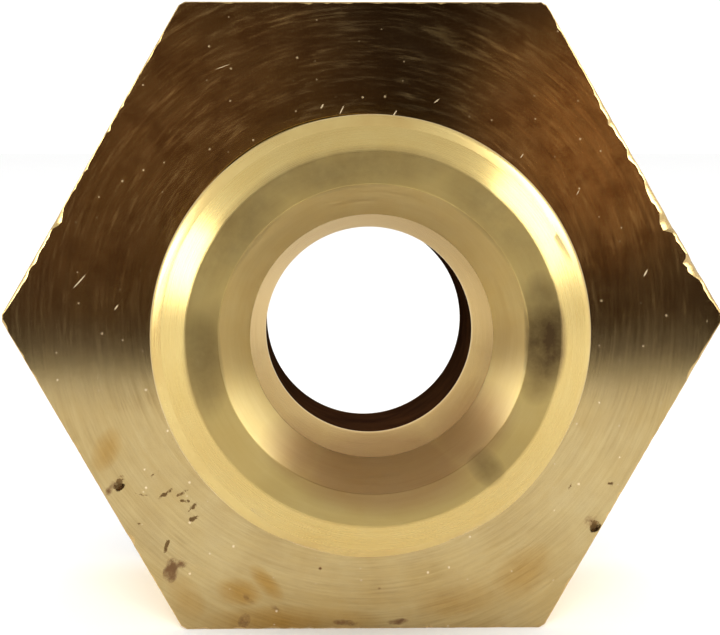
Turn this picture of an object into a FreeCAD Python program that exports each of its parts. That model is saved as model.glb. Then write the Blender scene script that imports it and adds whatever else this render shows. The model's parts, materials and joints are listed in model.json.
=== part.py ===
"""Brass union nut with its swivelling threaded tail and sealing washer.

Each piece is turned about its own local Z axis, with local Z = 0 on the nut's back face, the hexagonal
face that the threaded tail stands out of, and local +Z out along the tail. The pieces are then laid on
one flat of the hexagon: local +Z points along row -Y and local +Y points up. Lengths are millimetres.
"""

import FreeCAD
import Part
import math
import os
import Sketcher

# alias, value, what it is
DIMENSIONS = [
    ("across_flats", 20.64, "hexagon bar, 13/16 in"),
    ("corner_dia", 23.7, "the bar's corners, lightly turned off"),
    ("nut_length", 15.0, "hexagon's length along the axis"),
    ("wall_thick", 3.0, "nut's back wall, which the collar bears on"),
    ("wall_hole_dia", 13.32, "hole in the back wall, clears the male thread"),
    ("wall_hole_break", 0.03, "edge break round that hole"),
    ("relief_dia", 17.0, "thread relief inside the nut"),
    ("relief_length", 3.6, "its length, room for the collar and the washer"),
    ("nut_minor_dia", 14.95, "G3/8 female thread, crest"),
    ("nut_major_dia", 16.662, "G3/8 female thread, root"),
    ("nut_chamfer_dia", 19.4, "where the 30 degree corner chamfer meets the open face"),
    ("thread_pitch", 1.337, "19 threads per inch, both threads"),
    ("thread_flat", 0.22, "flat at each crest and root"),
    ("tail_length", 10.0, "threaded end, from the nut's back face to the tip"),
    ("tail_major_dia", 13.157, "G1/4 male thread, crest"),
    ("tail_minor_dia", 11.445, "G1/4 male thread, root"),
    ("tip_dia", 10.97, "flat end face, outer edge of its 45 degree chamfer"),
    ("cone_mouth_dia", 9.08, "60 degree coned seat, at the end face"),
    ("bore_dia", 6.32, "flow bore"),
    ("flare_dia", 7.24, "where the coned seat meets the flow bore's slight flare"),
    ("undercut_dia", 11.3, "runout groove behind the male thread"),
    ("undercut_length", 1.2, "its length"),
    ("neck_dia", 13.26, "plain journal that turns in the back wall"),
    ("neck_proud", 0.1, "how far the journal stands out of the back face"),
    ("collar_dia", 14.6, "flange inside the nut"),
    ("collar_thick", 2.0, "its thickness"),
    ("swivel_gap", 0.05, "end play between collar and back wall"),
    ("counterbore_dia", 9.0, "wide bore behind the flow bore"),
    ("washer_dia", 14.6, "flat sealing washer"),
    ("washer_hole_dia", 9.6, "its hole"),
    ("washer_thick", 1.5, "its thickness"),
]
CONE_HALF_ANGLE = "30"
FLARE_HALF_ANGLE = "10"
NUT_CHAMFER_ANGLE = "30"
# how far a cutting outline runs past the metal, and a thread's outline past the crest
OVERRUN = "1.5"
CREST_OVERRUN = "0.3"


def dimension_sheet(doc):
    """The spreadsheet of driving dimensions: value in column B under its alias, meaning in column C."""
    sheet = doc.addObject("Spreadsheet::Sheet", "Dims")
    for row, (alias, value, meaning) in enumerate(DIMENSIONS, start=1):
        sheet.set(f"A{row}", alias)
        sheet.set(f"B{row}", str(value))
        sheet.setAlias(f"B{row}", alias)
        sheet.set(f"C{row}", meaning)
    doc.recompute()


def new_body(doc, name):
    body = doc.addObject("PartDesign::Body", name)
    body.Label = name
    return body


def origin_feature(body, role):
    """The plane or axis of the body's own origin that has this role."""
    return next(f for f in body.Origin.OriginFeatures if f.Role == role)


def new_sketch(body, name, plane):
    sketch = body.newObject("Sketcher::SketchObject", name)
    sketch.AttachmentSupport = [(origin_feature(body, plane), "")]
    sketch.MapMode = "FlatFace"
    return sketch


def outline(body, name, corners):
    """A closed outline on the XZ plane. Each corner is a pair of sheet expressions: radius, height."""
    sketch = new_sketch(body, name, "XZ_Plane")
    count = len(corners)
    places = []
    for number, pair in enumerate(corners):
        places.append([float(sketch.evalExpression(text)) for text in pair])
    for number in range(count):
        start = FreeCAD.Vector(*places[number], 0)
        end = FreeCAD.Vector(*places[(number + 1) % count], 0)
        sketch.addGeometry(Part.LineSegment(start, end), False)
    for number in range(count):
        following = (number + 1) % count
        sketch.addConstraint(Sketcher.Constraint("Coincident", number, 2, following, 1))
    for number, pair in enumerate(corners):
        for kind, text, place in zip(("DistanceX", "DistanceY"), pair, places[number]):
            made = sketch.addConstraint(Sketcher.Constraint(kind, -1, 1, number, 1, place))
            sketch.setExpression(f"Constraints[{made}]", text)
    return sketch


def turned(body, kind, name, corners):
    """A Revolution or a Groove of an outline, once round the local Z axis."""
    sketch = outline(body, name + "_outline", corners)
    feature = body.newObject("PartDesign::" + kind, name)
    feature.Profile = sketch
    feature.ReferenceAxis = (sketch, ["V_Axis"])
    feature.Angle = 360
    body.Document.recompute()
    return feature


def hexagon_pad(body):
    """The length of hexagon bar, with a flat at the top and a flat at the bottom."""
    sketch = new_sketch(body, "hexagon", "XY_Plane")
    radius = float(sketch.evalExpression("Dims.across_flats / sqrt(3)"))
    points = []
    for corner in range(6):
        turn = math.radians(60 * corner)
        points.append(FreeCAD.Vector(radius * math.cos(turn), radius * math.sin(turn), 0))
    for corner in range(6):
        sketch.addGeometry(Part.LineSegment(points[corner], points[(corner + 1) % 6]), False)
    circle = Part.Circle(FreeCAD.Vector(0, 0, 0), FreeCAD.Vector(0, 0, 1), radius)
    sketch.addGeometry(circle, True)
    for corner in range(6):
        sketch.addConstraint(Sketcher.Constraint("Coincident", corner, 2, (corner + 1) % 6, 1))
        sketch.addConstraint(Sketcher.Constraint("PointOnObject", corner, 1, 6))
    for side in range(1, 6):
        sketch.addConstraint(Sketcher.Constraint("Equal", 0, side))
    sketch.addConstraint(Sketcher.Constraint("Coincident", 6, 3, -1, 1))
    sketch.addConstraint(Sketcher.Constraint("Horizontal", 1))
    size = sketch.addConstraint(Sketcher.Constraint("Radius", 6, radius))
    sketch.setExpression(f"Constraints[{size}]", "Dims.across_flats / sqrt(3)")
    pad = body.newObject("PartDesign::Pad", "bar")
    pad.Profile = sketch
    pad.Reversed = True
    pad.setExpression("Length", "Dims.nut_length")
    body.Document.recompute()
    return pad


def thread_cut(body, name, corners, height, winds_down):
    """A helical groove about local Z: the outline is one tooth space, and it winds over height."""
    sketch = outline(body, name + "_space", corners)
    helix = body.newObject("PartDesign::SubtractiveHelix", name)
    helix.Profile = sketch
    helix.ReferenceAxis = (sketch, ["V_Axis"])
    helix.Mode = 0
    helix.Reversed = winds_down
    helix.LeftHanded = False
    helix.Angle = 0
    helix.setExpression("Pitch", "Dims.thread_pitch")
    helix.setExpression("Height", height)
    body.Document.recompute()
    return helix


def tooth_space(crest_dia, root_dia, mid_height, outward):
    """One thread space: wide at the crest, narrow at the root, run past the crest so it cuts cleanly."""
    crest = f"{crest_dia} / 2"
    root = f"{root_dia} / 2"
    narrow = "Dims.thread_flat / 2"
    wide = "(Dims.thread_pitch - Dims.thread_flat) / 2"
    sign = "-" if outward else "+"
    past = f"{crest} {sign} {CREST_OVERRUN}"
    # the flanks carry on past the crest at the same slope
    slope = f"({wide} - {narrow}) / abs({root} - {crest})"
    spread = f"{wide} + {CREST_OVERRUN} * {slope}"
    return [
        (root, f"{mid_height} + {narrow}"),
        (root, f"{mid_height} - ({narrow})"),
        (past, f"{mid_height} - ({spread})"),
        (past, f"{mid_height} + {spread}"),
    ]


def hex_nut(doc):
    """Hexagon nut: back wall with a clearance hole, relief, then a G3/8 female thread to the open end."""
    body = new_body(doc, "hex_nut")
    hexagon_pad(body)
    end = "-Dims.nut_length"
    corner = "Dims.corner_dia / 2"
    chamfer = "Dims.nut_chamfer_dia / 2"
    slope = f"tan({NUT_CHAMFER_ANGLE} deg)"
    turned(body, "Groove", "corner_trim", [
        (corner, OVERRUN),
        (f"{corner} + {OVERRUN}", OVERRUN),
        (f"{corner} + {OVERRUN}", f"{end} - {OVERRUN}"),
        (f"{chamfer} - {OVERRUN} / {slope}", f"{end} - {OVERRUN}"),
        (corner, f"{end} + ({corner} - {chamfer}) * {slope}"),
    ])
    hole = "Dims.wall_hole_dia / 2"
    edge = "Dims.wall_hole_break"
    relief = "Dims.relief_dia / 2"
    minor = "Dims.nut_minor_dia / 2"
    wall = "-Dims.wall_thick"
    turned(body, "Groove", "bored", [
        ("0", "0"),
        (f"{hole} + {edge}", "0"),
        (hole, f"-{edge}"),
        (hole, wall),
        (relief, wall),
        (relief, f"{wall} - Dims.relief_length"),
        (minor, f"{wall} - Dims.relief_length - ({relief} - {minor})"),
        (minor, f"{end} + ({relief} - {minor})"),
        (relief, end),
        ("0", end),
    ])
    thread_cut(
        body,
        "female_thread",
        tooth_space("Dims.nut_minor_dia", "Dims.nut_major_dia", f"{end} - Dims.thread_pitch", True),
        "Dims.nut_length - Dims.wall_thick - Dims.relief_length / 2",
        False,
    )
    return body


def threaded_tail(doc):
    """Tail: coned tip, G1/4 male thread, runout groove, journal in the back wall, collar inside the nut."""
    body = new_body(doc, "threaded_tail")
    tip = "Dims.tail_length"
    end = "Dims.tip_dia / 2"
    crest = "Dims.tail_major_dia / 2"
    groove = "Dims.undercut_dia / 2"
    neck = "Dims.neck_dia / 2"
    collar = "Dims.collar_dia / 2"
    collar_top = "-Dims.wall_thick - Dims.swivel_gap"
    collar_end = f"{collar_top} - Dims.collar_thick"
    bore = "Dims.bore_dia / 2"
    mouth = "Dims.cone_mouth_dia / 2"
    flare = "Dims.flare_dia / 2"
    flare_top = f"{tip} - ({mouth} - {flare}) / tan({CONE_HALF_ANGLE} deg)"
    turned(body, "Revolution", "turned_blank", [
        (mouth, tip),
        (end, tip),
        (crest, f"{tip} - ({crest} - {end})"),
        (crest, "Dims.undercut_length + Dims.neck_proud"),
        (groove, "Dims.undercut_length + Dims.neck_proud"),
        (groove, "Dims.neck_proud"),
        (neck, "Dims.neck_proud"),
        (neck, collar_top),
        (collar, collar_top),
        (collar, collar_end),
        ("Dims.counterbore_dia / 2", collar_end),
        ("Dims.counterbore_dia / 2", "0"),
        (bore, "0"),
        (bore, f"{flare_top} - ({flare} - {bore}) / tan({FLARE_HALF_ANGLE} deg)"),
        (flare, flare_top),
    ])
    thread_cut(
        body,
        "male_thread",
        tooth_space("Dims.tail_major_dia", "Dims.tail_minor_dia", f"{tip} + Dims.thread_pitch / 2", False),
        "Dims.tail_length - Dims.undercut_length / 2",
        True,
    )
    return body


def sealing_washer(doc):
    """Flat washer that lies on the collar's outer face."""
    body = new_body(doc, "sealing_washer")
    face = "-Dims.wall_thick - Dims.swivel_gap - Dims.collar_thick"
    turned(body, "Revolution", "ring", [
        ("Dims.washer_hole_dia / 2", face),
        ("Dims.washer_dia / 2", face),
        ("Dims.washer_dia / 2", f"{face} - Dims.washer_thick"),
        ("Dims.washer_hole_dia / 2", f"{face} - Dims.washer_thick"),
    ])
    return body


def lay_on_flat(body):
    """Turns local +Z to row -Y, and puts the middle of the whole length over the row's origin."""
    turn = FreeCAD.Rotation(FreeCAD.Vector(1, 0, 0), 90)
    body.Placement = FreeCAD.Placement(FreeCAD.Vector(0, 0, 0), turn)
    body.setExpression("Placement.Base.y", "(Dims.tail_length - Dims.nut_length) / 2")
    body.setExpression("Placement.Base.z", "Dims.across_flats / 2")


def check(doc, bodies):
    """Stops if any object failed or any piece is not one valid solid."""
    for item in doc.Objects:
        if "Invalid" in item.State or "Error" in item.State:
            raise RuntimeError(f"{item.Label} failed: {item.State}")
    for body in bodies:
        shape = body.Shape
        if shape.isNull() or not shape.isValid() or len(shape.Solids) != 1:
            raise RuntimeError(f"{body.Label} is not one valid solid")


def main():
    doc = FreeCAD.newDocument("union_nut")
    dimension_sheet(doc)
    nut = hex_nut(doc)
    tail = threaded_tail(doc)
    washer = sealing_washer(doc)
    bodies = [nut, tail, washer]
    for body in bodies:
        lay_on_flat(body)
    doc.recompute()
    check(doc, bodies)
    os.makedirs("parts", exist_ok=True)
    for body in bodies:
        body.Shape.exportStep(f"parts/{body.Label}.step")
        box = body.Shape.BoundBox
        size = f"{box.XLength:.2f} x {box.YLength:.2f} x {box.ZLength:.2f}"
        print(f"{body.Label}: {body.Shape.Volume:.1f} mm3, {size} mm")


main()
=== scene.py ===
"""The looks of a brass union nut, its threaded tail and their fibre washer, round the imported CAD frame.

Lengths are metres, and mm in the tables of marks. The fitting's axis lies along Y at the height AXIS_Z.
As on a lathe drawing, a height is measured along that axis from the nut's back face, the hexagon with
the tail standing out of it: the tail's tip has the largest height and points to -Y, and the nut's open
end has the lowest. An angle is measured round the axis from +X towards +Z, which is anticlockwise seen
from the tip.
"""

import json
import math

import bmesh
import bpy
from mathutils import Matrix, Vector, noise


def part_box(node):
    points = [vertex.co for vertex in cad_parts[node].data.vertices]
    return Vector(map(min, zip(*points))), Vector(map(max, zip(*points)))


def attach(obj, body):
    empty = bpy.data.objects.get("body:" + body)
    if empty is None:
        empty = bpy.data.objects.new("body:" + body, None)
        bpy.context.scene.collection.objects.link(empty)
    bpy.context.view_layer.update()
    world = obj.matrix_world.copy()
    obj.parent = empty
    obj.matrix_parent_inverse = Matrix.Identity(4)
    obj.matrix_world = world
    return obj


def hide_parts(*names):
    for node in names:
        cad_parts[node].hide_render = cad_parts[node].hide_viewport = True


TAU = math.tau
MM = 0.001

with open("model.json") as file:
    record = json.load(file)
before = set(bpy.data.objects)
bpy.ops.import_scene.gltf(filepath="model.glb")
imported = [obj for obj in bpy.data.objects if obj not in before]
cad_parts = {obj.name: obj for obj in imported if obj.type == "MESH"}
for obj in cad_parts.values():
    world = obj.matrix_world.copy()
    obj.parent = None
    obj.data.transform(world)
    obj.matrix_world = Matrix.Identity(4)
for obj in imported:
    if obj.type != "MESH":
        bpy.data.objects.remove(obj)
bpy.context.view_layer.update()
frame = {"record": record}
MOUNTS = {mount["name"]: mount for mount in frame["record"]["mounts"]}
NUT_LOW, NUT_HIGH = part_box("hex_nut")
TAIL_LOW, TAIL_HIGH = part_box("threaded_tail")
WASHER_LOW, WASHER_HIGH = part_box("sealing_washer")

# ---- sizes from the frame
AXIS_Z = (NUT_LOW.z + NUT_HIGH.z) / 2
FACE_Y = NUT_LOW.y
APOTHEM = (NUT_HIGH.z - NUT_LOW.z) / 2
CORNER_RADIUS = NUT_HIGH.x
NUT_END = FACE_Y - NUT_HIGH.y
TAIL_TIP = FACE_Y - TAIL_LOW.y
TAIL_END = FACE_Y - TAIL_HIGH.y
WASHER_TOP = FACE_Y - WASHER_LOW.y
WASHER_END = FACE_Y - WASHER_HIGH.y
COLLAR_RADIUS = TAIL_HIGH.x
WASHER_RADIUS = WASHER_HIGH.x
MALE_CREST = MOUNTS["tail_thread"]["dims"]["r_mm"] * MM
FEMALE_CREST = MOUNTS["union_thread"]["dims"]["r_mm"] * MM
BORE_RADIUS = MOUNTS["flow_bore"]["dims"]["r_mm"] * MM

# ---- the rest of the turned outlines
PITCH = 1.337 * MM
THREAD_DEPTH = 0.640327 * PITCH
THREAD_ROUND = 0.137329 * PITCH
THREAD_HALF_ANGLE = math.radians(27.5)
# the mesh's rows on a thread's flank, in shares of the pitch from a crest towards the root at 0.5
THREAD_ROWS = (0.0, 0.06, 0.122, 0.25, 0.378, 0.44)
WALL_HOLE_RADIUS = 6.66 * MM
WALL_HOLE_BREAK = 0.03 * MM
WALL_END = -3.0 * MM
RELIEF_RADIUS = 8.5 * MM
RELIEF_END = -6.6 * MM
NUT_CHAMFER_RADIUS = 9.7 * MM
NUT_CHAMFER_SLOPE = math.tan(math.radians(30))
TIP_RADIUS = 5.485 * MM
MOUTH_RADIUS = 4.54 * MM
CONE_SLOPE = math.tan(math.radians(30))
FLARE_RADIUS = 3.62 * MM
FLARE_SLOPE = math.tan(math.radians(10))
THREAD_STOP = 1.3 * MM
GROOVE_RADIUS = 5.65 * MM
NECK_RADIUS = 6.63 * MM
NECK_TOP = 0.1 * MM
COLLAR_TOP = -3.05 * MM
COUNTERBORE_RADIUS = 4.5 * MM
# the punched washer swells unevenly inside its CAD outline, whose hole is 4.8 mm in radius
WASHER_HOLE_RADIUS = 4.82 * MM
WASHER_INSET = 0.04 * MM
WASHER_SWELL = 0.03 * MM

# ---- corners: how far from its tip each kind is turned over
EDGE = 0.045 * MM
FINE_EDGE = 0.02 * MM
LIP_EDGE = 0.005 * MM
THROAT_EDGE = 3 * EDGE
WASHER_EDGE = 0.12 * MM
# a corner's outer rows lie this many times as far from its tip, and the next run starts past them
CORNER_MARGIN = 1.5
PAST_EDGE = 2 * EDGE
PAST_FINE_EDGE = 2 * FINE_EDGE

# ---- the mesh
SECTOR = TAU / 6
FINE_FACE_RADIUS = 9.0 * MM
MERGE_DISTANCE = 0.5e-6
SHARP_ANGLE = math.radians(34)
# the back face's worn edge, in shares of its width: how far out, how far down
WORN_PROFILE = [(0, 0), (0.35, 0.26), (0.72, 0.6), (1, 1)]
# nicks press in the mesh down to this depth behind the back face
DENTED_DEPTH = 0.3 * MM

# ---- how deep along the axis the materials' marks reach
FACE_MARKS = 0.4 * MM
TIP_MARKS = 0.3 * MM
BLUSH_MARKS = 6 * MM

# Worn stretches of the back face's outline: middle and half width in degrees, added width in mm.
WORN_STRETCHES = [
    (170, 9, 0.085),
    (176, 4, 0.05),
    (162, 2, 0.14),
    (354, 5, 0.06),
    (3, 4, 0.12),
    (8.5, 2.4, 0.42),
    (13, 3, 0.12),
    (17, 2.2, 0.34),
    (22, 4, 0.18),
    (30, 12, 0.08),
    (40, 6, 0.13),
    (90, 26, 0.012),
    (52, 5, 0.03),
]

# Nicks in the back face, in mm from its centre: x, z, half length, half width, slant in degrees, depth.
NICKS = [
    (-8.04, -5.41, 0.25, 0.12, 52, 0.045),
    (-6.86, -5.14, 0.16, 0.05, 35, 0.012),
    (-7.26, -5.83, 0.28, 0.05, -8, 0.010),
    (-6.55, -5.83, 0.30, 0.07, 35, 0.022),
    (-5.98, -5.80, 0.22, 0.07, 28, 0.020),
    (-5.90, -6.05, 0.18, 0.06, -5, 0.018),
    (-5.62, -6.25, 0.22, 0.07, 42, 0.024),
    (-5.62, -6.63, 0.20, 0.08, 24, 0.028),
    (-6.48, -7.51, 0.26, 0.07, 72, 0.026),
    (-7.40, -6.80, 0.06, 0.05, 0, 0.012),
    (7.68, -6.88, 0.18, 0.16, 30, 0.050),
    (6.86, -5.60, 0.12, 0.05, 60, 0.012),
    (8.18, -5.52, 0.10, 0.06, 20, 0.014),
]

# Brown stains on the back face, in mm from its centre: x, z, half length, half width, slant in degrees,
# strength.
STAINS = [
    (-6.34, -8.35, 0.48, 0.30, 75, 1.0),
    (-8.32, -5.62, 0.30, 0.16, 60, 0.7),
    (-6.05, -8.15, 0.30, 0.18, 20, 0.7),
    (-3.80, -9.28, 0.30, 0.16, -45, 0.35),
    (-3.94, -10.05, 0.30, 0.22, 70, 0.75),
    (-2.90, -9.65, 0.30, 0.14, -40, 0.35),
    (7.55, -6.80, 0.30, 0.30, 0, 0.5),
    (1.15, -10.10, 0.40, 0.12, 5, 0.8),
    (-0.60, -10.12, 0.50, 0.12, -4, 0.6),
    (-1.43, -8.31, 0.07, 0.06, 0, 0.9),
    (0.53, -8.99, 0.06, 0.05, 0, 0.8),
]

# Soft amber patches on the back face, laid out the same way.
AMBER = [
    (-4.11, -9.08, 0.85, 0.50, -12, 1.0),
    (-3.20, -8.80, 0.85, 0.34, -48, 0.9),
    (-8.45, -4.35, 0.85, 0.48, 66, 0.8),
    (-5.85, -9.30, 0.95, 0.60, -58, 0.7),
    (5.30, -8.45, 1.30, 0.80, 38, 0.6),
    (3.20, -9.40, 1.60, 0.60, 8, 0.4),
    (-2.40, -10.05, 3.20, 0.55, 0, 0.8),
]

# Where a reddish film dulls the back face, laid out the same way.
FILM = [
    (7.2, 5.0, 7.4, 5.2, -62, 1.0),
    (5.6, 7.6, 4.4, 3.6, -30, 0.8),
    (9.8, 0.9, 3.2, 2.2, 90, 0.55),
    (-5.6, 6.6, 8.0, 5.2, 48, 0.72),
    (-8.2, 3.0, 6.5, 3.8, 62, 0.62),
    (-3.0, 9.2, 5.0, 2.8, 0, 0.68),
    (1.5, 8.8, 6.0, 3.0, -5, 0.42),
]

# Painted shade: where the back face is painted darker and a little rougher just below its left and right
# corners, so that the dark reflection reaches lower, laid out the same way.
CORNER_SHADE = [
    (9.4, -1.5, 3.4, 1.7, 8, 1.0),
    (-9.4, -1.5, 3.4, 1.7, -8, 1.0),
]

# Bright scratches in the back face, laid out the same way.
SCRATCHES = [
    (-9.30, 1.20, 0.34, 0.022, 48, 0.9),
    (-0.71, 6.80, 0.17, 0.020, 63, 1.0),
    (1.02, 6.68, 0.15, 0.024, 58, 1.0),
    (2.40, 7.10, 0.14, 0.020, 38, 0.7),
    (-1.35, 6.92, 0.10, 0.030, 60, 0.6),
    (5.20, 5.30, 0.10, 0.018, 55, 0.6),
    (9.30, 1.45, 0.16, 0.030, 62, 0.7),
    (-8.10, 0.35, 0.13, 0.028, 55, 0.7),
    (7.05, 4.10, 0.12, 0.018, 60, 0.5),
    (-4.60, 8.20, 0.30, 0.015, 20, 0.5),
]

# Brown marks on the tail's end face and in its cone, in mm from the axis, laid out the same way: darker
# patches at its right and left, a brown notch at the lower right, and painted shade in broad bands across
# its top.
TIP_STAINS_AND_SHADE = [
    (5.05, -0.10, 1.55, 0.95, 90, 1.0),
    (4.85, -1.10, 0.90, 0.60, 75, 0.55),
    (4.95, 1.20, 1.00, 0.55, 100, 0.45),
    (-4.95, -0.75, 1.70, 0.75, 95, 0.5),
    (3.30, -3.75, 0.50, 0.75, 40, 0.6),
    # painted shade: broad bands that darken the top of the end face
    (-0.9, 5.0, 4.6, 0.9, 6, 0.42),
    (-4.0, 3.2, 2.6, 1.0, 52, 0.42),
    (3.6, 3.6, 2.4, 1.0, -45, 0.36),
]

# Where the tail's end face and cone are darker and pinker, mostly below the axis, laid out the same way.
BLUSH = [
    (0.3, -3.8, 3.0, 1.5, 0, 1.0),
    (2.7, -2.7, 2.0, 1.2, 45, 0.7),
    (-2.0, -3.4, 1.5, 1.0, -30, 0.6),
    (3.9, -0.6, 1.5, 0.8, 85, 0.25),
]

# Warm parts of the card behind the camera, in mm from the card's middle, laid out the same way.
WARM = [
    (-16, -21, 22, 17, 0, 0.42),
    (19, -21, 11, 10, 120, 0.9),
    (21, -22, 19, 15, 90, 0.16),
]

# ---- colours. A tint multiplies the colour under it.
WHITE = (1, 1, 1, 1)
FACE_BRASS = (0.44, 0.34, 0.165, 1)
FACE_TARNISH = (0.34, 0.235, 0.09, 1)
FACE_LIFT_TINT = (1.11, 1.11, 1.11, 1)
FILM_RED = (0.50, 0.29, 0.10, 1)
SCORING_TINT = (0.52, 0.47, 0.42, 1)
BLOTCH_TINT = (0.58, 0.47, 0.40, 1)
CORNER_SHADE_BRASS = (0.34, 0.25, 0.115, 1)
AMBER_TINT = (0.84, 0.69, 0.45, 1)
STAIN_BROWN = (0.20, 0.10, 0.045, 1)
NICK_BROWN = (0.16, 0.085, 0.03, 1)
SCRATCHED_BRASS = (0.78, 0.62, 0.40, 1)
FLAT_BRASS = (0.76, 0.57, 0.26, 1)
FLAT_TARNISH = (0.63, 0.44, 0.19, 1)
FLAT_STREAK = (0.6, 0.42, 0.2, 1)
WORN_BRASS = (0.56, 0.40, 0.17, 1)
WORN_TARNISH = (0.38, 0.25, 0.09, 1)
NUT_THREAD_BRASS = (0.74, 0.54, 0.24, 1)
NUT_THREAD_TARNISH = (0.42, 0.26, 0.10, 1)
CLOUD_TINT = (0.93, 0.84, 0.62, 1)
TAIL_BRASS = (0.62, 0.47, 0.18, 1)
TAIL_TARNISH = (0.52, 0.35, 0.12, 1)
TAIL_THREAD_BRASS = (0.64, 0.485, 0.19, 1)
# painted light: the cone's brass is a lighter copy of the tail's, which brightens the cone's recess
CONE_PAINTED_LIGHT_BRASS = (0.76, 0.60, 0.27, 1)
CONE_PAINTED_LIGHT_TARNISH = (0.66, 0.48, 0.20, 1)
# painted reflection: the throat's brass is a lighter, paler copy of the tail's, with a pale edge tint
THROAT_PAINTED_LIGHT_BRASS = (0.72, 0.58, 0.33, 1)
THROAT_PAINTED_LIGHT_TARNISH = (0.60, 0.44, 0.22, 1)
THROAT_PAINTED_LIGHT_EDGE_TINT = (0.88, 0.73, 0.48, 1)
BLUSH_TINT = (0.72, 0.62, 0.66, 1)
TIP_STAIN_AND_SHADE_BROWN = (0.14, 0.085, 0.035, 1)
BORE_SHADE_BROWN = (0.060, 0.024, 0.009, 1)
BORE_DEEP_SHADE_BROWN = (0.032, 0.013, 0.006, 1)
FIBRE_RED = (0.30, 0.045, 0.028, 1)
FIBRE_PALE_RED = (0.42, 0.085, 0.045, 1)
FIBRE_STRAND = (0.52, 0.20, 0.12, 1)
CARD_DARK = (0.024, 0.012, 0.007, 1)
CARD_WARM = (0.38, 0.21, 0.115, 1)
FLOOR_GREY = (0.93, 0.93, 0.925, 1)
FLOOR_WHITE = (0.95, 0.95, 0.945, 1)
DAYLIGHT = (0.9, 0.96, 1.0)

# ---- studio
CARD_HALF_WIDTH = 0.15
CARD_HALF_HEIGHT = 0.0375
CARD_DISTANCE = 0.098
FLOOR_HALF_WIDTH = 4.0
HORIZON_GLOW = 1.15
OVERHEAD_GLOW = 0.86
LENS = 133.6
SENSOR_WIDTH = 36.0
IMAGE_WIDTH = 720
SHIFT = -3.4 / IMAGE_WIDTH
CAMERA_FROM_FACE = Vector((-2.61, -87.6, 5.72)) * MM


# ---------------------------------------------------------------- turned shapes


def point_at(radius, angle, height):
    """The place in the frame of a point on a turned piece."""
    return Vector((radius * math.cos(angle), FACE_Y - height, AXIS_Z + radius * math.sin(angle)))


def blend(a, b, share):
    return a + (b - a) * share


def line(start, end, steps):
    """Points from start up to but not including end, each a (radius, height)."""
    return [(blend(start[0], end[0], i / steps), blend(start[1], end[1], i / steps)) for i in range(steps)]


def between(start, end, steps):
    """The same points without the start, for a run that follows a corner."""
    return line(start, end, steps)[1:]


def corner(before, at, after, size):
    """A turned-over corner at a point, coming from one point and leaving for another.

    A row lies close outside each end of the curve, so that the faces beside it shade flat.
    """
    tip = Vector(at)
    back = (Vector(before) - tip).normalized()
    ahead = (Vector(after) - tip).normalized()
    start = tip + back * size
    end = tip + ahead * size
    curve = [start.lerp(tip, t).lerp(tip.lerp(end, t), t) for t in (0, 0.33, 0.67, 1)]
    outer_rows = [tuple(tip + way * size * CORNER_MARGIN) for way in (back, ahead)]
    return [outer_rows[0], *map(tuple, curve), outer_rows[1]]


def thread_drop(height, angle):
    """How far a Whitworth thread's surface lies below its crest line, or below the root line in a nut."""
    turn = (height / PITCH - angle / TAU) % 1
    away = min(turn, 1 - turn) * PITCH
    rounded = THREAD_ROUND * math.cos(THREAD_HALF_ANGLE)

    def near_crest(x):
        if x < rounded:
            return THREAD_ROUND - math.sqrt(THREAD_ROUND**2 - x**2)
        start = THREAD_ROUND * (1 - math.sin(THREAD_HALF_ANGLE))
        return start + (x - rounded) / math.tan(THREAD_HALF_ANGLE)

    if away < PITCH / 4:
        return near_crest(away)
    return THREAD_DEPTH - near_crest(PITCH / 2 - away)


def thread_heights(angle, top, bottom):
    """Heights of mesh rows that climb with the thread, from top down to bottom and held between them."""
    shares = THREAD_ROWS + tuple(0.5 + share for share in THREAD_ROWS)
    turns = math.ceil((top - bottom) / PITCH) + 4
    first = math.floor(bottom / PITCH) - 1
    climb = angle / TAU
    heights = [(first + climb + turn + share) * PITCH for turn in range(turns) for share in shares]
    return [min(max(height, bottom), top) for height in reversed(heights)]


def hexagon_radius(angle):
    """Distance from the axis to the nut's outline, flats and lightly turned corners."""
    from_flat = angle % SECTOR - SECTOR / 2
    return min(APOTHEM / math.cos(from_flat), CORNER_RADIUS)


def hexagon_angles(flat_steps, corner_steps):
    """Angles once round the hexagon, with a column at each end of every turned corner."""
    half_corner = SECTOR / 2 - math.acos(APOTHEM / CORNER_RADIUS)
    angles = []
    for sector in range(6):
        start = sector * SECTOR
        flat_start = start + half_corner
        flat_stop = start + SECTOR - half_corner
        angles += [blend(start, flat_start, i / corner_steps) for i in range(corner_steps)]
        angles += [blend(flat_start, flat_stop, i / flat_steps) for i in range(flat_steps)]
        angles += [blend(flat_stop, start + SECTOR, i / corner_steps) for i in range(corner_steps)]
    return angles + [TAU]


def even_angles(steps):
    return [TAU * i / steps for i in range(steps + 1)]


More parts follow.
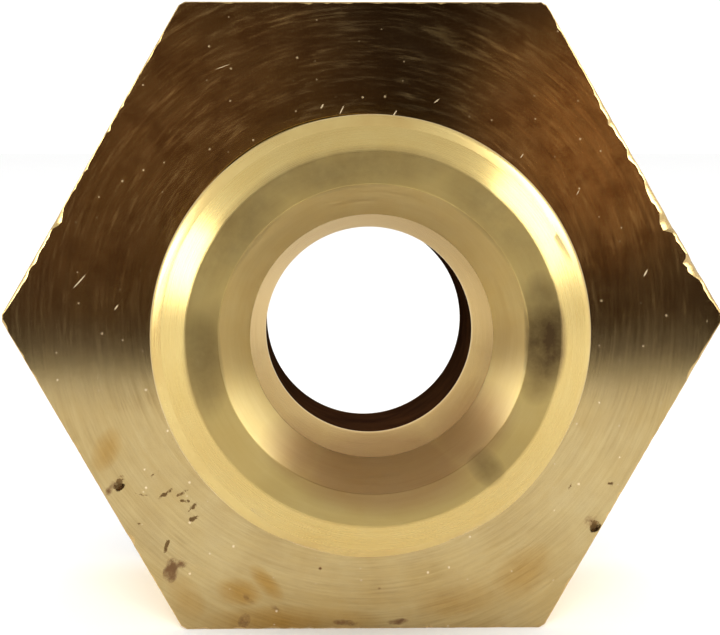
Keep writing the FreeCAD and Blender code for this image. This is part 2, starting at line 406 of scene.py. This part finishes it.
def turned_piece(name, angles, outline, materials):
    """A closed mesh from an outline that may change with the angle.

    outline(angle) gives a list of runs round the section, each a (material number, list of points). The
    number of points is the same at each angle, and the last run ends next to the first run's start.
    """
    columns = [outline(angle) for angle in angles]
    vertices = []
    for angle, runs in zip(angles, columns):
        vertices += [point_at(r, angle, h) for _, points in runs for r, h in points]
    zones = [zone for zone, points in columns[0] for _ in points]
    rows = len(zones)
    faces = []
    for column in range(len(angles) - 1):
        here, there = column * rows, (column + 1) * rows
        for row in range(rows):
            below = (row + 1) % rows
            faces.append((here + row, here + below, there + below, there + row))

    mesh = bpy.data.meshes.new(name)
    mesh.from_pydata(vertices, [], faces)
    mesh.polygons.foreach_set("material_index", zones * (len(angles) - 1))
    shape = bmesh.new()
    shape.from_mesh(mesh)
    bmesh.ops.remove_doubles(shape, verts=shape.verts, dist=MERGE_DISTANCE)
    bmesh.ops.recalc_face_normals(shape, faces=shape.faces)
    shape.to_mesh(mesh)
    shape.free()
    for material in materials:
        mesh.materials.append(material)
    mesh.shade_smooth()
    mesh.set_sharp_from_angle(angle=SHARP_ANGLE)
    piece = bpy.data.objects.new(name, mesh)
    bpy.context.scene.collection.objects.link(piece)
    return piece


def dent_depth(x, z):
    """How deep a nick is at a point of the back face, in mm."""
    deepest = 0.0
    for middle_x, middle_z, half_length, half_width, slant, depth in NICKS:
        dx, dz = x / MM - middle_x, z / MM - middle_z
        turn = math.radians(slant)
        along = (dx * math.cos(turn) + dz * math.sin(turn)) / half_length
        across = (dz * math.cos(turn) - dx * math.sin(turn)) / half_width
        deepest = max(deepest, depth * (1 - along**2 - across**2))
    return deepest


def edge_wear(angle):
    """How wide the back face's outline is turned over: a fine edge with knocks and worn stretches."""
    way_round = Vector((math.cos(angle), math.sin(angle), 0))
    least = 0.022
    knocks = max(0.0, noise.noise(way_round * 31) - 0.12) * 0.16
    grain = abs(noise.noise(way_round * 95)) * 0.035
    ragged = 0.55 + 0.9 * abs(noise.noise(way_round * 140))
    width = least + knocks + grain
    for middle, half, extra in WORN_STRETCHES:
        away = abs((math.degrees(angle) - middle + 180) % 360 - 180) / half
        width += extra * max(0.0, 1 - away**2) * ragged
    return width * MM


# ---------------------------------------------------------------- the three pieces

# numbers of the materials on the nut and on the tail. The faces between two rows take the first row's.
FACE, FLAT, THREAD, WORN = range(4)
TURNED, TIP_FACE, CONE, BORE, TAIL_THREAD, THROAT = range(6)


def nut_outline(angle):
    """The nut's section, from the hole's front edge out over the back face and round to the hole again."""
    rim = hexagon_radius(angle)
    wear = edge_wear(angle)
    face_end = rim - wear
    hole_edge = WALL_HOLE_RADIUS + WALL_HOLE_BREAK
    face = line((hole_edge, 0), (FINE_FACE_RADIUS, 0), 6) + line((FINE_FACE_RADIUS, 0), (face_end, 0), 18)
    worn_edge = [(face_end + wear * out, -wear * down) for out, down in WORN_PROFILE]

    chamfer_start = NUT_END + (rim - NUT_CHAMFER_RADIUS) * NUT_CHAMFER_SLOPE
    shoulder = (rim, chamfer_start)
    end = (NUT_CHAMFER_RADIUS, NUT_END)
    mouth = (RELIEF_RADIUS, NUT_END)
    crest = (FEMALE_CREST, NUT_END + RELIEF_RADIUS - FEMALE_CREST)
    flank = line((rim, -wear - FINE_EDGE), (rim, chamfer_start + PAST_EDGE), 9)
    open_end = (
        corner((rim, 0), shoulder, end, EDGE)
        + between((rim - PAST_EDGE, chamfer_start - PAST_EDGE * NUT_CHAMFER_SLOPE), end, 4)
        + corner(shoulder, end, mouth, FINE_EDGE)
        + between((NUT_CHAMFER_RADIUS - EDGE, NUT_END), mouth, 4)
        + corner(end, mouth, crest, FINE_EDGE)
    )

    thread = []
    for height in reversed(thread_heights(angle, RELIEF_END - FINE_EDGE, NUT_END + PAST_FINE_EDGE)):
        root = FEMALE_CREST + THREAD_DEPTH - thread_drop(height, angle)
        mouth_cone = RELIEF_RADIUS - (height - NUT_END)
        relief_cone = RELIEF_RADIUS - (RELIEF_END - height)
        thread.append((max(root, mouth_cone, relief_cone), height))

    relief_start, relief_end = (RELIEF_RADIUS, RELIEF_END), (RELIEF_RADIUS, WALL_END)
    hole_start, hole_end = (WALL_HOLE_RADIUS, WALL_END), (WALL_HOLE_RADIUS, -WALL_HOLE_BREAK)
    inside = (
        line(relief_start, relief_end, 6)
        + corner(relief_start, relief_end, (0, WALL_END), EDGE)[1:]
        + between((RELIEF_RADIUS - PAST_EDGE, WALL_END), hole_start, 4)
        + corner(relief_end, hole_start, (WALL_HOLE_RADIUS, 0), EDGE)
        + between((WALL_HOLE_RADIUS, WALL_END + PAST_EDGE), hole_end, 4)
        + line(hole_end, (hole_edge, 0), 3)
    )
    return [
        (FACE, face),
        (WORN, worn_edge),
        (FLAT, flank),
        (FACE, open_end),
        (THREAD, thread),
        (THREAD, inside),
    ]


def tail_outline(angle):
    """The tail's section, from the mouth of its cone out over the tip and back through the bore."""
    mouth, tip = (MOUTH_RADIUS, TAIL_TIP), (TIP_RADIUS, TAIL_TIP)
    chamfer_size = MALE_CREST - TIP_RADIUS
    shoulder = (MALE_CREST, TAIL_TIP - chamfer_size)
    cone_foot = TAIL_TIP - (MOUTH_RADIUS - FLARE_RADIUS) / CONE_SLOPE
    flare_foot = cone_foot - (FLARE_RADIUS - BORE_RADIUS) / FLARE_SLOPE
    tip_face = (
        corner((FLARE_RADIUS, cone_foot), mouth, tip, FINE_EDGE)
        + between((MOUTH_RADIUS + EDGE, TAIL_TIP), (TIP_RADIUS - EDGE, TAIL_TIP), 6)
        + corner(mouth, tip, shoulder, FINE_EDGE)
    )
    chamfer = line((TIP_RADIUS + EDGE, TAIL_TIP - EDGE), shoulder, 6)[:-1]
    thread = []
    # the thread's first rows still lie on the chamfer's cone
    for height in thread_heights(angle, TAIL_TIP - chamfer_size * 0.75, THREAD_STOP):
        crest = MALE_CREST - thread_drop(height, angle)
        thread.append((min(crest, TIP_RADIUS + (TAIL_TIP - height)), height))

    groove, neck_root = (GROOVE_RADIUS, THREAD_STOP), (GROOVE_RADIUS, NECK_TOP)
    neck, collar_root = (NECK_RADIUS, NECK_TOP), (NECK_RADIUS, COLLAR_TOP)
    collar, collar_end = (COLLAR_RADIUS, COLLAR_TOP), (COLLAR_RADIUS, TAIL_END)
    inner, step = (COUNTERBORE_RADIUS, TAIL_END), (COUNTERBORE_RADIUS, 0)
    bore_start = (BORE_RADIUS, 0)
    journal = (
        corner((MALE_CREST, THREAD_STOP), groove, neck_root, EDGE)
        + corner(groove, neck_root, neck, EDGE)
        + corner(neck_root, neck, collar_root, FINE_EDGE)
        + between((NECK_RADIUS, NECK_TOP - PAST_EDGE), collar_root, 4)
        + corner(neck, collar_root, collar, EDGE)
        + corner(collar_root, collar, collar_end, EDGE)
        + between((COLLAR_RADIUS, COLLAR_TOP - PAST_EDGE), collar_end, 4)
        + corner(collar, collar_end, inner, EDGE)
        + between((COLLAR_RADIUS - PAST_EDGE, TAIL_END), inner, 5)
        + corner(collar_end, inner, step, EDGE)
        + between((COUNTERBORE_RADIUS, TAIL_END + PAST_EDGE), step, 5)
        + corner(inner, step, bore_start, EDGE)
        + corner(step, bore_start, (BORE_RADIUS, TAIL_TIP), FINE_EDGE)
    )

    bore_end, flare_end = (BORE_RADIUS, flare_foot), (FLARE_RADIUS, cone_foot)
    bore = line((BORE_RADIUS, PAST_EDGE), bore_end, 8)[:-1]
    flare_lip = corner(bore_end, flare_end, mouth, LIP_EDGE)
    throat = (
        corner(bore_start, bore_end, flare_end, THROAT_EDGE)
        + between(bore_end, flare_end, 8)[:-1]
        + flare_lip[:-1]
    )
    cone = flare_lip[-1:] + between(flare_end, mouth, 10)[:-1]
    return [
        (TIP_FACE, tip_face),
        (TURNED, chamfer),
        (TAIL_THREAD, thread),
        (TURNED, journal),
        (BORE, bore),
        (THROAT, throat),
        (CONE, cone),
    ]


def washer_outline(angle):
    """The washer's section: flat faces, edges rounded by the punch and squeezed a little unevenly."""
    way_round = Vector((math.cos(angle), math.sin(angle), 0))
    swell = noise.noise(way_round * 3) * WASHER_SWELL
    outer = WASHER_RADIUS - WASHER_INSET + swell
    inner = WASHER_HOLE_RADIUS + swell
    places = [(inner, WASHER_TOP), (outer, WASHER_TOP), (outer, WASHER_END), (inner, WASHER_END)]
    points = []
    for i, place in enumerate(places):
        after = places[(i + 1) % 4]
        points += corner(places[i - 1], place, after, WASHER_EDGE)
        points += between(place, after, 6)
    return [(0, points)]


def dent_back_face(nut):
    """Presses the nicks into the back face."""
    for vertex in nut.data.vertices:
        if vertex.co.y < FACE_Y + DENTED_DEPTH:
            vertex.co.y += dent_depth(vertex.co.x, vertex.co.z - AXIS_Z) * MM


# ---------------------------------------------------------------- materials


class Graph:
    """A material's node tree, built one call per node. A call returns one of the node's outputs."""

    def __init__(self, name):
        self.material = bpy.data.materials.new(name)
        self.material.use_nodes = True
        self.tree = self.material.node_tree
        self.tree.nodes.clear()

    def node(self, kind, inputs=(), output=0, **settings):
        made = self.tree.nodes.new("ShaderNode" + kind)
        for key, value in settings.items():
            setattr(made, key, value)
        for key, value in dict(inputs).items():
            if isinstance(value, bpy.types.NodeSocket):
                self.tree.links.new(value, made.inputs[key])
            else:
                made.inputs[key].default_value = value
        return made.outputs[output]

    def maths(self, operation, a, b=0.0, clamp=False):
        return self.node("Math", {0: a, 1: b}, operation=operation, use_clamp=clamp)

    def plus(self, a, b, clamp=False):
        return self.maths("ADD", a, b, clamp)

    def minus(self, a, b, clamp=False):
        return self.maths("SUBTRACT", a, b, clamp)

    def times(self, a, b, clamp=False):
        return self.maths("MULTIPLY", a, b, clamp)

    def vector(self, operation, a, b=(0, 0, 0), output=0):
        return self.node("VectorMath", {0: a, 1: b}, output=output, operation=operation)

    def scaled(self, vector, factor):
        return self.node("VectorMath", {0: vector, "Scale": factor}, operation="SCALE")

    def noise(self, vector, scale=1.0, detail=2.0, rough=0.5):
        inputs = {"Vector": vector, "Scale": scale, "Detail": detail, "Roughness": rough}
        return self.node("TexNoise", inputs)

    def spread(self, value, low, high, to_low=0.0, to_high=1.0):
        """A value between low and high, moved to lie between to_low and to_high and held there."""
        inputs = {"Value": value, "From Min": low, "From Max": high, "To Min": to_low, "To Max": to_high}
        return self.node("MapRange", inputs, clamp=True)

    def mix(self, share, a, b, blend_type="MIX"):
        inputs = {0: share, 6: a, 7: b}
        return self.node("Mix", inputs, output=2, data_type="RGBA", blend_type=blend_type)

    def tint(self, share, colour, tint):
        return self.mix(share, colour, tint, "MULTIPLY")

    def place(self):
        """The point's place in the piece, measured from the axis."""
        here = self.node("TexCoord", output=3)
        return self.vector("SUBTRACT", here, (0, 0, AXIS_Z))

    def bump(self, height, distance, strength=1.0):
        return self.node("Bump", {"Strength": strength, "Distance": distance, "Height": height})

    def surface(self, shader):
        """The finished material, with this shader on its surface."""
        output = self.tree.nodes.new("ShaderNodeOutputMaterial")
        self.tree.links.new(shader, output.inputs["Surface"])
        return self.material

    def finish(self, inputs):
        return self.surface(self.node("BsdfPrincipled", inputs))


def polar(graph):
    """The point's place from the axis, its distance from the axis, and the direction that it lies in."""
    place = graph.place()
    across = graph.vector("MULTIPLY", place, (1, 0, 1))
    radius = graph.vector("LENGTH", across, output=1)
    direction = graph.vector("NORMALIZE", across)
    return place, radius, direction


def rings(graph, direction, radius, spacing, around):
    """Coordinates that draw noise out into arcs round the axis, a spacing wide.

    A larger around makes the arcs shorter.
    """
    drawn = graph.scaled(direction, around)
    out = graph.node("CombineXYZ", {"Y": graph.maths("DIVIDE", radius, spacing)})
    return graph.vector("ADD", drawn, out)


def marks(graph, place, spots, height, reach):
    """How strongly a point lies in any of a list of oval spots, which fade out from their middles.

    The spots lie in a layer at a height along the axis, and reach how far they go to either side of it.
    """
    strongest = 0.0
    for x, z, half_length, half_width, slant, strength in spots:
        spot = {
            "Vector": place,
            "Location": (x * MM, FACE_Y - height, z * MM),
            "Rotation": (0, -math.radians(slant), 0),
            "Scale": (half_length * MM, reach, half_width * MM),
        }
        away = graph.node("Mapping", spot, vector_type="TEXTURE")
        inside = graph.minus(1.0, graph.vector("DOT_PRODUCT", away, away, output=1), clamp=True)
        strongest = graph.maths("MAXIMUM", strongest, graph.times(inside, strength))
    return strongest


def face_marks(graph, place, spots):
    """How strongly a point lies in any of a list of spots on the back face."""
    return marks(graph, place, spots, 0, FACE_MARKS)


def eaten_marks(graph, place, spots, eaten, low, high, most=1.0):
    """Spots on the back face with ragged outlines, eaten away where the noise is strong."""
    whole = face_marks(graph, place, spots)
    ragged = graph.spread(graph.minus(whole, eaten), low, high, 0.0, most)
    return graph.times(ragged, graph.spread(whole, 0.02, 0.2))


def turned_brass(name, clean, tarnish, darkness, rough, anisotropy, groove):
    """Brass faced or turned on a lathe: fine rings, a radial sheen, tarnish in patches.

    Returns the graph, the colour and the roughness so far, and the shader's other inputs.
    """
    graph = Graph(name)
    place, radius, direction = polar(graph)
    run = graph.node("SeparateXYZ", {"Vector": place}, output=1)
    along = graph.plus(radius, graph.times(run, 1.7))

    fine = graph.noise(rings(graph, direction, along, 0.035 * MM, 2.5), detail=3, rough=0.6)
    broad = graph.noise(rings(graph, direction, along, 0.17 * MM, 2.4), detail=3, rough=0.6)
    patches = graph.noise(place, scale=260, detail=4, rough=0.6)
    clouds = graph.noise(place, scale=900, detail=3, rough=0.55)

    cover = graph.times(graph.spread(patches, 0.35, 0.7), darkness)
    streaks = graph.spread(broad, 0.32, 0.7, 0.0, 0.75)
    cover = graph.plus(cover, graph.times(streaks, darkness), clamp=True)
    colour = graph.mix(cover, clean, tarnish)
    colour = graph.tint(graph.spread(clouds, 0.3, 0.7, 0.0, 0.35), colour, CLOUD_TINT)
    polish = graph.spread(fine, 0.25, 0.75, rough * 0.8, rough * 1.2)
    polish = graph.plus(polish, graph.times(cover, 0.03))
    # the tool's marks run round the axis, so light spreads a quarter turn from them
    round_axis = {"Vector": graph.vector("CROSS_PRODUCT", direction, (0, 1, 0))}
    to_world = {"vector_type": "VECTOR", "convert_from": "OBJECT", "convert_to": "WORLD"}
    return graph, colour, polish, {
        "Metallic": 1.0,
        "Anisotropic": anisotropy,
        "Anisotropic Rotation": 0.25,
        "Tangent": graph.node("VectorTransform", round_axis, **to_world),
        "Normal": graph.bump(graph.plus(fine, graph.times(broad, 2.0)), groove),
    }


def reddish_film(graph, place, streaks, swirls, wisps):
    """How thick the film on the back face is: streaked round the axis and broken up in wisps."""
    film = face_marks(graph, place, FILM)
    film = graph.times(film, film)
    film = graph.times(film, graph.spread(streaks, 0.3, 0.7, 0.55, 1.45))
    film = graph.times(film, graph.spread(swirls, 0.3, 0.7, 0.7, 1.25))
    return graph.times(film, graph.spread(wisps, 0.3, 0.7, 0.7, 1.3), clamp=True)


def specks(graph, place):
    """Specks of dirt and burr on the back face: at most one in each cell, of many sizes or none."""
    x = graph.node("SeparateXYZ", {"Vector": place})
    z = graph.node("SeparateXYZ", {"Vector": place}, output=2)
    cell = {"Vector": graph.node("CombineXYZ", {"X": x, "Y": z}), "Scale": 1400.0}
    chance = graph.node("TexVoronoi", cell, output=1, voronoi_dimensions="2D")
    size = graph.spread(graph.node("SeparateXYZ", {"Vector": chance}), 0.6, 1.0, 0.0, 0.075)
    away = graph.node("TexVoronoi", cell, voronoi_dimensions="2D")
    return graph.spread(graph.minus(size, away), 0.0, 0.03)


def nut_face_brass():
    """The nut's faced ends: turned brass under a reddish film, with scoring, patches, stains and nicks, and
    painted shade below the left and right corners.
    """
    graph, colour, polish, inputs = turned_brass(
        "nut_turned_brass", FACE_BRASS, FACE_TARNISH, darkness=0.4, rough=0.085, anisotropy=0.4, groove=2e-7
    )
    place, radius, direction = polar(graph)
    streaks = graph.noise(rings(graph, direction, radius, 0.12 * MM, 8.0), detail=3, rough=0.6)
    swirls = graph.noise(rings(graph, direction, radius, 0.55 * MM, 4.0), detail=3, rough=0.6)
    scores = graph.noise(rings(graph, direction, radius, 0.075 * MM, 5.0), detail=4, rough=0.7)
    wisps = graph.noise(place, scale=480, detail=5, rough=0.62)

    film = reddish_film(graph, place, streaks, swirls, wisps)
    colour = graph.mix(graph.times(film, 0.9, clamp=True), colour, FILM_RED)
    scoring = graph.times(graph.spread(scores, 0.38, 0.68), graph.spread(wisps, 0.35, 0.65, 0.3, 1.0))
    colour = graph.tint(graph.times(scoring, 0.5), colour, SCORING_TINT)
    colour = graph.tint(1.0, colour, FACE_LIFT_TINT)
    blotches = graph.spread(graph.noise(place, scale=800, detail=5, rough=0.6), 0.47, 0.62)
    blotches = graph.times(blotches, graph.spread(film, 0.0, 0.4, 0.1, 0.6))
    colour = graph.tint(blotches, colour, BLOTCH_TINT)

    # painted shade: darker brass and a little more roughness just below the left and right corners
    corner_shade = face_marks(graph, place, CORNER_SHADE)
    polish = graph.plus(polish, graph.times(corner_shade, 0.02))
    colour = graph.mix(graph.times(corner_shade, 0.6), colour, CORNER_SHADE_BRASS)
    amber = graph.times(face_marks(graph, place, AMBER), graph.spread(wisps, 0.3, 0.7, 0.6, 1.5))
    colour = graph.tint(graph.maths("MINIMUM", amber, 1.0), colour, AMBER_TINT)

    crumble = graph.noise(place, scale=6500, detail=4, rough=0.8)
    # dirt lies in the nicks and a little round them, most in the deepest
    dirt = [
        (x, z, long * 1.25, wide * 1.25, slant, min(1, depth / 0.02))
        for x, z, long, wide, slant, depth in NICKS
    ]
    nick = eaten_marks(graph, place, dirt, graph.spread(crumble, 0.36, 0.64), -0.1, 0.25)
    smear = graph.noise(place, scale=3500, detail=4, rough=0.65)
    stain = eaten_marks(graph, place, STAINS, graph.spread(smear, 0.3, 0.7), -0.45, 0.45, 0.9)
    colour = graph.mix(stain, colour, STAIN_BROWN)
    colour = graph.mix(graph.times(nick, 0.85), colour, NICK_BROWN)
    polish = graph.plus(polish, graph.times(nick, 0.3))
    polish = graph.plus(polish, graph.times(stain, 0.3))

    # specks and scratches catch light whatever the face reflects, and so do scuffs a little
    scratch = graph.spread(face_marks(graph, place, SCRATCHES), 0.0, 0.5)
    light = graph.maths("MAXIMUM", graph.times(specks(graph, place), 0.55), scratch)
    colour = graph.mix(light, colour, SCRATCHED_BRASS)
    scuffs = graph.times(graph.spread(streaks, 0.48, 0.72), graph.spread(swirls, 0.4, 0.65))
    metal = graph.minus(1.0, graph.times(film, 0.035))
    metal = graph.minus(metal, graph.times(scuffs, 0.08))
    metal = graph.minus(metal, graph.times(light, 0.4), clamp=True)
    inputs.update({"Base Color": colour, "Roughness": polish, "Metallic": metal})
    return graph.finish(inputs)


def tail_brass(name, clean, tarnish, rough, anisotropy, groove, edge_tint=WHITE):
    """One zone of the tail: cleaner turned brass, as smooth as the tool left it there, with its marks,
    darker and pinker towards the bottom near the tip, and painted shade across the end face's top.
    """
    graph, colour, polish, inputs = turned_brass(
        name, clean, tarnish, darkness=0.3, rough=rough, anisotropy=anisotropy, groove=groove
    )
    place = graph.place()
    # darker and pinker below the axis near the tip
    blush = marks(graph, place, BLUSH, TAIL_TIP, BLUSH_MARKS)
    colour = graph.tint(graph.spread(blush, 0.0, 0.6), colour, BLUSH_TINT)
    smear = graph.spread(graph.noise(place, scale=1600, detail=4, rough=0.65), 0.3, 0.7, 0.7, 1.3)
    # brown marks and painted shade on the end face: darker patches at its sides, a notch, and painted shade
    # across its top
    stain = graph.times(marks(graph, place, TIP_STAINS_AND_SHADE, TAIL_TIP, TIP_MARKS), smear)
    colour = graph.mix(graph.times(stain, 0.95, clamp=True), colour, TIP_STAIN_AND_SHADE_BROWN)
    inputs.update({"Base Color": colour, "Roughness": polish, "Specular Tint": edge_tint})
    return graph.finish(inputs)


def shaded_bore():
    """The drilled bore: painted shade, near-black brown, rough and without gloss, ringed by the drill."""
    graph = Graph("tail_bore_painted_shade")
    place = graph.place()
    drilled = graph.noise(graph.vector("MULTIPLY", place, (500, 9000, 500)), detail=3, rough=0.6)
    patches = graph.noise(place, scale=700, detail=4, rough=0.6)
    # painted shade: near-black browns in patches, and no specular reflection below
    colour = graph.mix(graph.spread(patches, 0.35, 0.65), BORE_SHADE_BROWN, BORE_DEEP_SHADE_BROWN)
    return graph.finish({
        "Base Color": colour,
        "Roughness": graph.spread(drilled, 0.3, 0.7, 0.6, 0.75),
        "Specular IOR Level": 0.0,
        "Normal": graph.bump(drilled, 4e-6),
    })


def thread_brass(name, clean, tarnish):
    """Brass cut by a threading tool: streaks that run round with the thread, tarnish in patches."""
    graph = Graph(name)
    place = graph.place()
    cut = graph.noise(graph.vector("MULTIPLY", place, (400, 14000, 400)), detail=3, rough=0.6)
    patches = graph.noise(place, scale=500, detail=4, rough=0.6)
    colour = graph.mix(graph.spread(patches, 0.35, 0.7, 0.1, 0.8), clean, tarnish)
    polish = graph.spread(cut, 0.3, 0.7, 0.24, 0.4)
    bump = graph.bump(cut, 2e-6)
    return graph.finish({"Base Color": colour, "Metallic": 1.0, "Roughness": polish, "Normal": bump})


def drawn_brass(name, clean, tarnish):
    """Bar stock as drawn, with grain along the axis and handling marks."""
    graph = Graph(name)
    place = graph.place()
    grain = graph.noise(graph.vector("MULTIPLY", place, (16000, 300, 16000)), detail=3, rough=0.6)
    broad = graph.noise(graph.vector("MULTIPLY", place, (2200, 120, 2200)), detail=3, rough=0.6)
    patches = graph.noise(place, scale=240, detail=5, rough=0.6)
    colour = graph.mix(graph.spread(patches, 0.38, 0.68), clean, tarnish)
    colour = graph.mix(graph.spread(broad, 0.35, 0.75, 0.0, 0.4), colour, FLAT_STREAK)
    polish = graph.spread(grain, 0.3, 0.7, 0.2, 0.34)
    bump = graph.bump(graph.plus(grain, graph.times(broad, 3.0)), 1.6e-6)
    return graph.finish({"Base Color": colour, "Metallic": 1.0, "Roughness": polish, "Normal": bump})


def red_fibre():
    """Vulcanised fibre: dull red-brown sheet with short pressed fibres."""
    graph = Graph("washer_red_fibre")
    place = graph.place()
    fibres = graph.noise(graph.vector("MULTIPLY", place, (3000, 9000, 5200)), detail=5, rough=0.7)
    mottle = graph.noise(place, scale=700, detail=4, rough=0.6)
    colour = graph.mix(graph.spread(mottle, 0.3, 0.7), FIBRE_RED, FIBRE_PALE_RED)
    colour = graph.mix(graph.spread(fibres, 0.45, 0.8, 0.0, 0.5), colour, FIBRE_STRAND)
    polish = graph.spread(fibres, 0.3, 0.7, 0.55, 0.75)
    bump = graph.bump(fibres, 1.2e-5, strength=0.8)
    return graph.finish({"Base Color": colour, "Roughness": polish, "Normal": bump})


# ---------------------------------------------------------------- studio


def front_card():
    """A dark card behind the camera that only shows in reflections, warm where a hand holds the camera."""
    mesh = bpy.data.meshes.new("card_front")
    x, z = CARD_HALF_WIDTH, CARD_HALF_HEIGHT
    mesh.from_pydata([(-x, 0, -z), (x, 0, -z), (x, 0, z), (-x, 0, z)], [], [(0, 1, 2, 3)])
    made = bpy.data.objects.new("card_front", mesh)
    made.location = (0, FACE_Y - CARD_DISTANCE, z)
    bpy.context.scene.collection.objects.link(made)
    graph = Graph("card_dark")
    # the card has its own origin, so its marks lie at y = 0 and reach through it
    warmth = marks(graph, graph.node("TexCoord", output=3), WARM, FACE_Y, 1.0)
    colour = graph.mix(warmth, CARD_DARK, CARD_WARM)
    mesh.materials.append(graph.surface(graph.node("Emission", {"Color": colour, "Strength": 1.0})))
    made.visible_camera = False
    made.visible_diffuse = False
    made.visible_shadow = False


def floor():
    """A large pale table top under the nut."""
    mesh = bpy.data.meshes.new("floor")
    half = FLOOR_HALF_WIDTH
    corners = [(-half, -half, 0), (half, -half, 0), (half, half, 0), (-half, half, 0)]
    mesh.from_pydata(corners, [], [(0, 1, 2, 3)])
    made = bpy.data.objects.new("floor", mesh)
    bpy.context.scene.collection.objects.link(made)
    graph = Graph("floor_white")
    mottle = graph.noise(graph.node("TexCoord", output=3), scale=60, detail=3)
    colour = graph.mix(graph.spread(mottle, 0.3, 0.7), FLOOR_GREY, FLOOR_WHITE)
    mesh.materials.append(graph.finish({"Base Color": colour, "Roughness": 0.9}))


def sky():
    """Soft light from all round: even up to 30 degrees above the horizon, then dimmer to overhead."""
    world = bpy.data.worlds.new("studio")
    world.use_nodes = True
    bpy.context.scene.world = world
    tree = world.node_tree
    tree.nodes.clear()
    place = tree.nodes.new("ShaderNodeTexCoord")
    split = tree.nodes.new("ShaderNodeSeparateXYZ")
    ramp = tree.nodes.new("ShaderNodeMapRange")
    ramp.interpolation_type = "SMOOTHSTEP"
    # z is the sine of the height above the horizon, so 0.5 is 30 degrees
    ramp.inputs["From Min"].default_value = 0.5
    ramp.inputs["From Max"].default_value = 1.0
    ramp.inputs["To Min"].default_value = HORIZON_GLOW
    ramp.inputs["To Max"].default_value = OVERHEAD_GLOW
    background = tree.nodes.new("ShaderNodeBackground")
    background.inputs["Color"].default_value = WHITE
    output = tree.nodes.new("ShaderNodeOutputWorld")
    tree.links.new(place.outputs["Generated"], split.inputs["Vector"])
    tree.links.new(split.outputs["Z"], ramp.inputs["Value"])
    tree.links.new(ramp.outputs["Result"], background.inputs["Strength"])
    tree.links.new(background.outputs["Background"], output.inputs["Surface"])


def side_light(name, angle, distance, width, depth, power):
    """A soft box beside the fitting that faces the axis, with most of its depth in front of the tip."""
    light = bpy.data.lights.new(name, "AREA")
    light.shape = "RECTANGLE"
    light.size = width
    light.size_y = depth
    light.energy = power
    light.color = DAYLIGHT
    made = bpy.data.objects.new(name, light)
    out = Vector((math.cos(math.radians(angle)), 0, math.sin(math.radians(angle))))
    front = Vector((0, -1, 0))
    made.matrix_world = Matrix((front.cross(out), front, out)).transposed().to_4x4()
    made.location = Vector((0, TAIL_LOW.y, AXIS_Z)) + out * distance + front * depth * 0.4
    made.visible_camera = False
    made.visible_diffuse = False
    bpy.context.scene.collection.objects.link(made)


def fill_light(distance, height, size, power):
    """A soft box high behind the camera that lights the front and the table top, and isn't reflected."""
    light = bpy.data.lights.new("light_fill", "AREA")
    light.size = size
    light.energy = power
    made = bpy.data.objects.new("light_fill", light)
    made.location = (0, FACE_Y - distance, height)
    aim = Vector((0, FACE_Y, 0)) - made.location
    made.rotation_euler = aim.to_track_quat("-Z", "Y").to_euler()
    made.visible_camera = False
    made.visible_glossy = False
    bpy.context.scene.collection.objects.link(made)


def camera():
    """A long lens a hand's width in front of the tip, a little above the axis and left of it."""
    data = bpy.data.cameras.new("camera")
    data.lens = LENS
    data.sensor_width = SENSOR_WIDTH
    data.shift_x = SHIFT
    data.clip_start = 0.001
    data.clip_end = 20.0
    made = bpy.data.objects.new("camera", data)
    target = Vector((0, FACE_Y, AXIS_Z))
    made.location = target + CAMERA_FROM_FACE
    made.rotation_euler = (target - made.location).to_track_quat("-Z", "Y").to_euler()
    bpy.context.scene.collection.objects.link(made)
    bpy.context.scene.camera = made


# ---------------------------------------------------------------- the whole scene


def make_nut():
    materials = [
        nut_face_brass(),
        drawn_brass("nut_drawn_brass", FLAT_BRASS, FLAT_TARNISH),
        thread_brass("nut_thread_brass", NUT_THREAD_BRASS, NUT_THREAD_TARNISH),
        drawn_brass("nut_worn_brass", WORN_BRASS, WORN_TARNISH),
    ]
    angles = hexagon_angles(flat_steps=72, corner_steps=4)
    nut = turned_piece("union_nut", angles, nut_outline, materials)
    dent_back_face(nut)
    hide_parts("hex_nut")
    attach(nut, "nut_body")


def make_tail():
    materials = [
        tail_brass("tail_turned_brass", TAIL_BRASS, TAIL_TARNISH, rough=0.27, anisotropy=0.3, groove=4e-7),
        tail_brass("tail_tip_brass", TAIL_BRASS, TAIL_TARNISH, rough=0.36, anisotropy=1.0, groove=3e-7),
        # the cone: a lighter copy of the tail's brass, painted light in its recess
        tail_brass("tail_cone_painted_light_brass", CONE_PAINTED_LIGHT_BRASS, CONE_PAINTED_LIGHT_TARNISH, rough=0.42, anisotropy=0.8, groove=3e-7),
        # the bore: painted shade
        shaded_bore(),
        thread_brass("tail_thread_brass", TAIL_THREAD_BRASS, TAIL_TARNISH),
        # the throat: a lighter, paler copy of the brass, a painted reflection
        tail_brass(
            "tail_throat_painted_light_brass",
            THROAT_PAINTED_LIGHT_BRASS,
            THROAT_PAINTED_LIGHT_TARNISH,
            rough=0.22,
            anisotropy=0.3,
            groove=3e-7,
            edge_tint=THROAT_PAINTED_LIGHT_EDGE_TINT,
        ),
    ]
    tail = turned_piece("tail", even_angles(360), tail_outline, materials)
    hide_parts("threaded_tail")
    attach(tail, "tail_body")


def make_washer():
    washer = turned_piece("washer", even_angles(180), washer_outline, [red_fibre()])
    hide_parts("sealing_washer")
    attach(washer, "washer_body")


def make_studio():
    floor()
    sky()
    side_light("light_right", angle=31, distance=0.25, width=0.15, depth=0.12, power=0.45)
    side_light("light_left", angle=160, distance=0.25, width=0.10, depth=0.12, power=0.31)
    front_card()
    fill_light(distance=0.87, height=0.28, size=0.5, power=13.0)
    camera()
    bpy.context.scene.view_settings.view_transform = "Standard"


def main():
    make_nut()
    make_tail()
    make_washer()
    make_studio()


main()
